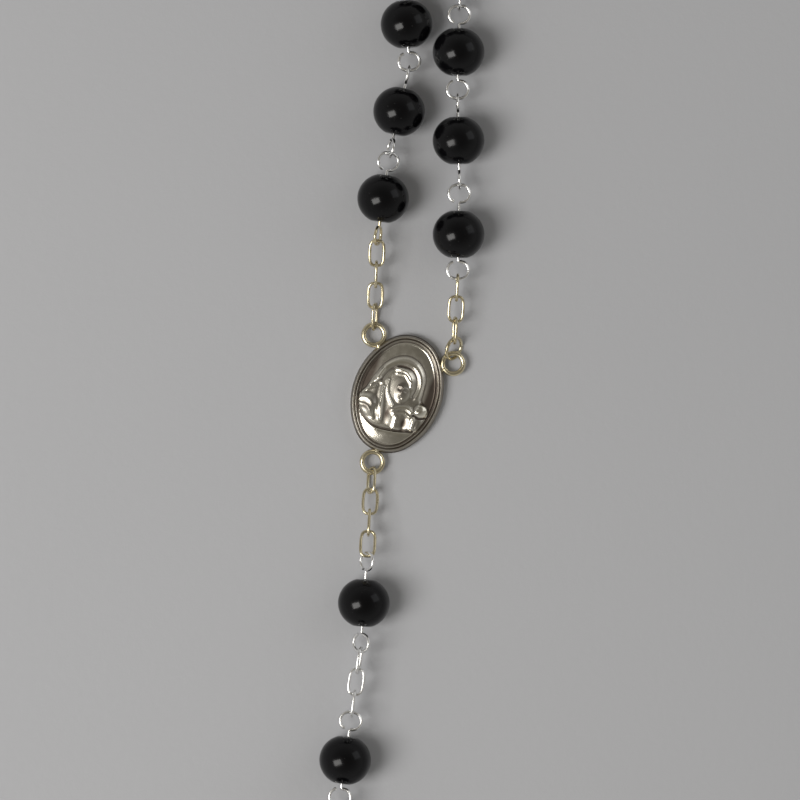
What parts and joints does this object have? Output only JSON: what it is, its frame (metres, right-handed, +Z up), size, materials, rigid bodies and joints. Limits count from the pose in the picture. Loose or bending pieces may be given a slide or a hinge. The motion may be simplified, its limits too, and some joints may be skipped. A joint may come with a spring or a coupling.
{
  "type": "rosary",
  "caption": "Rosary of round black glass beads on wire eye pins, with chain links, an oval relief medal at the centre and a plain metal cross.",
  "frame": {"origin": "centre of the oval medal's flat back, on the surface that the rosary lies on", "axes": "+Z up from the surface; +Y from the medal towards the loop of decades; the pendant with the cross runs towards -Y"},
  "size_m": [0.1549, 0.3878, 0.0061],
  "materials": {
    "black_glass": "opaque black glossy glass",
    "silver_wire": "polished silver-tone wire",
    "gold_wire": "pale champagne gold-tone wire",
    "medal_silver": "stamped polished silver-tone metal with darkened hollows",
    "cross_silver": "cast silver-tone metal"
  },
  "bodies": {
    "medal": {"medal": "medal_silver"},
    "left_chain_link_1": {"left_chain_link_1": "gold_wire"},
    "left_chain_link_2": {"left_chain_link_2": "gold_wire"},
    "left_chain_link_3": {"left_chain_link_3": "gold_wire"},
    "left_chain_link_4": {"left_chain_link_4": "gold_wire"},
    "left_pin_1": {"left_pin_1": "silver_wire"},
    "left_bead_1": {"left_bead_1": "black_glass"},
    "left_pin_2": {"left_pin_2": "silver_wire"},
    "left_bead_2": {"left_bead_2": "black_glass"},
    "left_pin_3": {"left_pin_3": "silver_wire"},
    "left_bead_3": {"left_bead_3": "black_glass"},
    "right_jump_ring": {"right_jump_ring": "gold_wire"},
    "right_chain_link_1": {"right_chain_link_1": "gold_wire"},
    "right_chain_link_2": {"right_chain_link_2": "gold_wire"},
    "right_chain_link_3": {"right_chain_link_3": "gold_wire"},
    "right_pin_1": {"right_pin_1": "silver_wire"},
    "right_bead_1": {"right_bead_1": "black_glass"},
    "right_pin_2": {"right_pin_2": "silver_wire"},
    "right_bead_2": {"right_bead_2": "black_glass"},
    "right_pin_3": {"right_pin_3": "silver_wire"},
    "right_bead_3": {"right_bead_3": "black_glass"},
    "lower_chain_link_1": {"lower_chain_link_1": "gold_wire"},
    "lower_chain_link_2": {"lower_chain_link_2": "gold_wire"},
    "lower_chain_link_3": {"lower_chain_link_3": "gold_wire"},
    "lower_chain_link_4": {"lower_chain_link_4": "gold_wire"},
    "our_father_pin": {"our_father_pin": "silver_wire"},
    "our_father_bead": {"our_father_bead": "black_glass"},
    "pendant_link_1": {"pendant_link_1": "silver_wire"},
    "pendant_link_2": {"pendant_link_2": "silver_wire"},
    "pendant_link_3": {"pendant_link_3": "silver_wire"},
    "hail_mary_pin_1": {"hail_mary_pin_1": "silver_wire"},
    "hail_mary_bead_1": {"hail_mary_bead_1": "black_glass"},
    "hail_mary_pin_2": {"hail_mary_pin_2": "silver_wire"},
    "hail_mary_bead_2": {"hail_mary_bead_2": "black_glass"},
    "hail_mary_pin_3": {"hail_mary_pin_3": "silver_wire"},
    "hail_mary_bead_3": {"hail_mary_bead_3": "black_glass"},
    "pendant_end_links": {"pendant_end_links": "silver_wire"},
    "last_our_father_pin": {"last_our_father_pin": "silver_wire"},
    "last_our_father_bead": {"last_our_father_bead": "black_glass"},
    "cross_links": {"cross_links": "silver_wire"},
    "cross": {"cross": "cross_silver"},
    "first_decade": {"first_decade_pins": "silver_wire", "first_decade_beads": "black_glass"},
    "first_divider": {"first_divider_chain": "silver_wire"},
    "first_divider_bead": {"first_divider_bead": "black_glass"},
    "second_decade": {"second_decade_pins": "silver_wire", "second_decade_beads": "black_glass"},
    "second_divider": {"second_divider_chain": "silver_wire"},
    "second_divider_bead": {"second_divider_bead": "black_glass"},
    "third_decade": {"third_decade_pins": "silver_wire", "third_decade_beads": "black_glass"},
    "fifth_decade": {"fifth_decade_pins": "silver_wire", "fifth_decade_beads": "black_glass"},
    "fourth_divider": {"fourth_divider_chain": "silver_wire"},
    "fourth_divider_bead": {"fourth_divider_bead": "black_glass"},
    "fourth_decade": {"fourth_decade_pins": "silver_wire", "fourth_decade_beads": "black_glass"},
    "third_divider": {"third_divider_chain": "silver_wire"},
    "third_divider_bead": {"third_divider_bead": "black_glass"}
  },
  "joints": [
    {"name": "left_chain_link_1_hinge", "type": "hinge", "parent": "medal", "child": "left_chain_link_1", "pos_m": [-0.00264, 0.00805, 0.00085], "axis": [-0.9994, 0.0349, 0], "range_deg": [-60, 60]},
    {"name": "left_chain_link_2_hinge", "type": "hinge", "parent": "left_chain_link_1", "child": "left_chain_link_2", "pos_m": [-0.00258, 0.00996, 0.0013], "axis": [0.9994, -0.0349, 0], "range_deg": [-60, 60]},
    {"name": "left_chain_link_3_hinge", "type": "hinge", "parent": "left_chain_link_2", "child": "left_chain_link_3", "pos_m": [-0.00248, 0.01281, 0.00193], "axis": [-0.9994, 0.0349, 0], "range_deg": [-60, 60]},
    {"name": "left_chain_link_4_hinge", "type": "hinge", "parent": "left_chain_link_3", "child": "left_chain_link_4", "pos_m": [-0.00241, 0.01484, 0.00237], "axis": [0.9994, -0.0349, 0], "range_deg": [-60, 60]},
    {"name": "left_pin_1_hinge", "type": "hinge", "parent": "left_chain_link_4", "child": "left_pin_1", "pos_m": [-0.00231, 0.01769, 0.003], "axis": [-0.9994, 0.0349, 0], "range_deg": [-60, 60]},
    {"name": "left_bead_1_spin", "type": "hinge", "parent": "left_pin_1", "child": "left_bead_1", "pos_m": [-0.00161, 0.02264, 0.003], "axis": [0.1392, 0.9903, 0], "continuous": true},
    {"name": "left_pin_2_hinge", "type": "hinge", "parent": "left_pin_1", "child": "left_pin_2", "pos_m": [-0.00088, 0.02781, 0.003], "axis": [0.9305, -0.1308, -0.342], "range_deg": [-30, 30]},
    {"name": "left_bead_2_spin", "type": "hinge", "parent": "left_pin_2", "child": "left_bead_2", "pos_m": [0.00024, 0.03268, 0.003], "axis": [0.225, 0.9744, 0], "continuous": true},
    {"name": "left_pin_3_hinge", "type": "hinge", "parent": "left_pin_2", "child": "left_pin_3", "pos_m": [0.00144, 0.03735, 0.003], "axis": [-0.9938, -0.0695, 0.0872], "range_deg": [-60, 60]},
    {"name": "left_bead_3_spin", "type": "hinge", "parent": "left_pin_3", "child": "left_bead_3", "pos_m": [0.00107, 0.04276, 0.003], "axis": [-0.0698, 0.9976, 0], "continuous": true},
    {"name": "right_jump_ring_hinge", "type": "hinge", "parent": "medal", "child": "right_jump_ring", "pos_m": [0.00652, 0.00472, 0.00085], "axis": [0.9986, -0.0523, 0], "range_deg": [-25, 25]},
    {"name": "right_chain_link_1_hinge", "type": "hinge", "parent": "right_jump_ring", "child": "right_chain_link_1", "pos_m": [0.00661, 0.00633, 0.00171], "axis": [-0.9986, 0.0523, 0], "range_deg": [-20, 20]},
    {"name": "right_chain_link_2_hinge", "type": "hinge", "parent": "right_chain_link_1", "child": "right_chain_link_2", "pos_m": [0.00671, 0.00837, 0.00207], "axis": [0.9956, -0.0372, -0.0859], "range_deg": [-60, 60]},
    {"name": "right_chain_link_3_hinge", "type": "hinge", "parent": "right_chain_link_2", "child": "right_chain_link_3", "pos_m": [0.00687, 0.01125, 0.00257], "axis": [-0.9956, 0.0372, 0.0859], "range_deg": [-60, 60]},
    {"name": "right_pin_1_hinge", "type": "hinge", "parent": "right_chain_link_3", "child": "right_pin_1", "pos_m": [0.00699, 0.01329, 0.003], "axis": [0.9998, -0.0175, 0], "range_deg": [-60, 60]},
    {"name": "right_bead_1_spin", "type": "hinge", "parent": "right_pin_1", "child": "right_bead_1", "pos_m": [0.00708, 0.0187, 0.003], "axis": [0.0175, 0.9998, 0], "continuous": true},
    {"name": "right_pin_2_hinge", "type": "hinge", "parent": "right_pin_1", "child": "right_pin_2", "pos_m": [0.00718, 0.02412, 0.003], "axis": [-0.9998, 0.0175, 0], "range_deg": [-60, 60]},
    {"name": "right_bead_2_spin", "type": "hinge", "parent": "right_pin_2", "child": "right_bead_2", "pos_m": [0.00707, 0.02912, 0.003], "axis": [-0.0209, 0.9998, 0], "continuous": true},
    {"name": "right_pin_3_hinge", "type": "hinge", "parent": "right_pin_2", "child": "right_pin_3", "pos_m": [0.00695, 0.03412, 0.003], "axis": [0.9997, -0.0227, 0], "range_deg": [-60, 60]},
    {"name": "right_bead_3_spin", "type": "hinge", "parent": "right_pin_3", "child": "right_bead_3", "pos_m": [0.00707, 0.03954, 0.003], "axis": [0.0227, 0.9997, 0], "continuous": true},
    {"name": "lower_chain_link_1_hinge", "type": "hinge", "parent": "medal", "child": "lower_chain_link_1", "pos_m": [-0.00294, -0.00909, 0.00085], "axis": [-0.9984, 0.0558, 0], "range_deg": [-35, 35]},
    {"name": "lower_chain_link_2_hinge", "type": "hinge", "parent": "lower_chain_link_1", "child": "lower_chain_link_2", "pos_m": [-0.00305, -0.011, 0.0013], "axis": [0.9984, -0.0558, 0], "range_deg": [-50, 50]},
    {"name": "lower_chain_link_3_hinge", "type": "hinge", "parent": "lower_chain_link_2", "child": "lower_chain_link_3", "pos_m": [-0.00321, -0.01385, 0.00193], "axis": [-0.9984, 0.0558, 0], "range_deg": [-60, 60]},
    {"name": "lower_chain_link_4_hinge", "type": "hinge", "parent": "lower_chain_link_3", "child": "lower_chain_link_4", "pos_m": [-0.00332, -0.01588, 0.00237], "axis": [0.9984, -0.0558, 0], "range_deg": [-60, 60]},
    {"name": "our_father_pin_hinge", "type": "hinge", "parent": "lower_chain_link_4", "child": "our_father_pin", "pos_m": [-0.00348, -0.01872, 0.003], "axis": [-0.9984, 0.0558, 0], "range_deg": [-45, 45]},
    {"name": "our_father_bead_spin", "type": "hinge", "parent": "our_father_pin", "child": "our_father_bead", "pos_m": [-0.00383, -0.02371, 0.003], "axis": [-0.0698, -0.9976, 0], "continuous": true},
    {"name": "pendant_link_1_hinge", "type": "hinge", "parent": "our_father_pin", "child": "pendant_link_1", "pos_m": [-0.00425, -0.02972, 0.003], "axis": [0.7054, -0.0493, 0.7071], "range_deg": [-60, 60]},
    {"name": "pendant_link_2_hinge", "type": "hinge", "parent": "pendant_link_1", "child": "pendant_link_2", "pos_m": [-0.00454, -0.03178, 0.003], "axis": [-0.9903, 0.1392, 0], "range_deg": [-60, 60]},
    {"name": "pendant_link_3_hinge", "type": "hinge", "parent": "pendant_link_2", "child": "pendant_link_3", "pos_m": [-0.00494, -0.03467, 0.003], "axis": [0.9903, -0.1392, 0], "range_deg": [-60, 60]},
    {"name": "hail_mary_pin_1_hinge", "type": "hinge", "parent": "pendant_link_3", "child": "hail_mary_pin_1", "pos_m": [-0.00523, -0.03673, 0.003], "axis": [-0.9903, 0.1392, 0], "range_deg": [-60, 60]},
    {"name": "hail_mary_bead_1_spin", "type": "hinge", "parent": "hail_mary_pin_1", "child": "hail_mary_bead_1", "pos_m": [-0.00599, -0.04209, 0.003], "axis": [-0.1392, -0.9903, 0], "continuous": true},
    {"name": "hail_mary_pin_2_hinge", "type": "hinge", "parent": "hail_mary_pin_1", "child": "hail_mary_pin_2", "pos_m": [-0.00675, -0.04751, 0.003], "axis": [0.9903, -0.1392, 0], "range_deg": [-60, 60]},
    {"name": "hail_mary_bead_2_spin", "type": "hinge", "parent": "hail_mary_pin_2", "child": "hail_mary_bead_2", "pos_m": [-0.00727, -0.05248, 0.003], "axis": [-0.1045, -0.9945, 0], "continuous": true},
    {"name": "hail_mary_pin_3_hinge", "type": "hinge", "parent": "hail_mary_pin_2", "child": "hail_mary_pin_3", "pos_m": [-0.00779, -0.05726, 0.003], "axis": [-0.9986, 0.0523, 0], "range_deg": [-60, 60]},
    {"name": "hail_mary_bead_3_spin", "type": "hinge", "parent": "hail_mary_pin_3", "child": "hail_mary_bead_3", "pos_m": [-0.00808, -0.06267, 0.003], "axis": [-0.0523, -0.9986, 0], "continuous": true},
    {"name": "pendant_end_links_hinge", "type": "hinge", "parent": "hail_mary_pin_3", "child": "pendant_end_links", "pos_m": [-0.00835, -0.06788, 0.003], "axis": [0.9986, -0.0523, 0], "range_deg": [-60, 60]},
    {"name": "last_our_father_pin_hinge", "type": "hinge", "parent": "pendant_end_links", "child": "last_our_father_pin", "pos_m": [-0.00839, -0.07496, 0.003], "axis": [-1, 0, 0], "range_deg": [-60, 60]},
    {"name": "last_our_father_bead_spin", "type": "hinge", "parent": "last_our_father_pin", "child": "last_our_father_bead", "pos_m": [-0.00839, -0.08038, 0.003], "axis": [0, -1, 0], "continuous": true},
    {"name": "cross_links_hinge", "type": "hinge", "parent": "last_our_father_pin", "child": "cross_links", "pos_m": [-0.00839, -0.0856, 0.003], "axis": [1, 0, 0], "range_deg": [-60, 60]},
    {"name": "cross_hinge", "type": "hinge", "parent": "cross_links", "child": "cross", "pos_m": [-0.00839, -0.09225, 0.00085], "axis": [-1, 0, 0], "range_deg": [-60, 60]},
    {"name": "first_decade_hinge", "type": "hinge", "parent": "left_pin_3", "child": "first_decade", "pos_m": [0.0007, 0.04796, 0.003], "axis": [0.9976, 0.0698, 0], "range_deg": [-60, 60]},
    {"name": "first_divider_hinge", "type": "hinge", "parent": "first_decade", "child": "first_divider", "pos_m": [-0.0291, 0.10955, 0.003], "axis": [-0.5592, -0.829, 0], "range_deg": [-60, 60]},
    {"name": "first_divider_bead_spin", "type": "hinge", "parent": "first_divider", "child": "first_divider_bead", "pos_m": [-0.03947, 0.11725, 0.003], "axis": [-0.7826, 0.6225, 0], "continuous": true},
    {"name": "second_decade_hinge", "type": "hinge", "parent": "first_divider", "child": "second_decade", "pos_m": [-0.04917, 0.12547, 0.003], "axis": [0.682, 0.7314, 0], "range_deg": [-60, 60]},
    {"name": "second_divider_hinge", "type": "hinge", "parent": "second_decade", "child": "second_divider", "pos_m": [-0.05952, 0.22003, 0.003], "axis": [-0.887, 0.4617, 0], "range_deg": [-60, 60]},
    {"name": "second_divider_bead_spin", "type": "hinge", "parent": "second_divider", "child": "second_divider_bead", "pos_m": [-0.05154, 0.22964, 0.003], "axis": [0.6626, 0.749, 0], "continuous": true},
    {"name": "third_decade_hinge", "type": "hinge", "parent": "second_divider", "child": "third_decade", "pos_m": [-0.04316, 0.23864, 0.003], "axis": [0.6194, -0.7851, 0], "range_deg": [-60, 60]},
    {"name": "fifth_decade_hinge", "type": "hinge", "parent": "right_pin_3", "child": "fifth_decade", "pos_m": [0.00719, 0.04476, 0.003], "axis": [-0.9997, 0.0227, 0], "range_deg": [-60, 60]},
    {"name": "fourth_divider_hinge", "type": "hinge", "parent": "fifth_decade", "child": "fourth_divider", "pos_m": [0.03807, 0.10581, 0.003], "axis": [0.5592, -0.829, 0], "range_deg": [-60, 60]},
    {"name": "fourth_divider_bead_spin", "type": "hinge", "parent": "fourth_divider", "child": "fourth_divider_bead", "pos_m": [0.04843, 0.11351, 0.003], "axis": [0.7826, 0.6225, 0], "continuous": true},
    {"name": "fourth_decade_hinge", "type": "hinge", "parent": "fourth_divider", "child": "fourth_decade", "pos_m": [0.05813, 0.12173, 0.003], "axis": [-0.682, 0.7314, 0], "range_deg": [-60, 60]},
    {"name": "third_divider_hinge", "type": "hinge", "parent": "fourth_decade", "child": "third_divider", "pos_m": [0.06604, 0.21653, 0.003], "axis": [0.8748, 0.4845, 0], "range_deg": [-60, 60]},
    {"name": "third_divider_bead_spin", "type": "hinge", "parent": "third_divider", "child": "third_divider_bead", "pos_m": [0.05782, 0.22593, 0.003], "axis": [-0.6817, 0.7316, 0], "continuous": true}
  ]
}
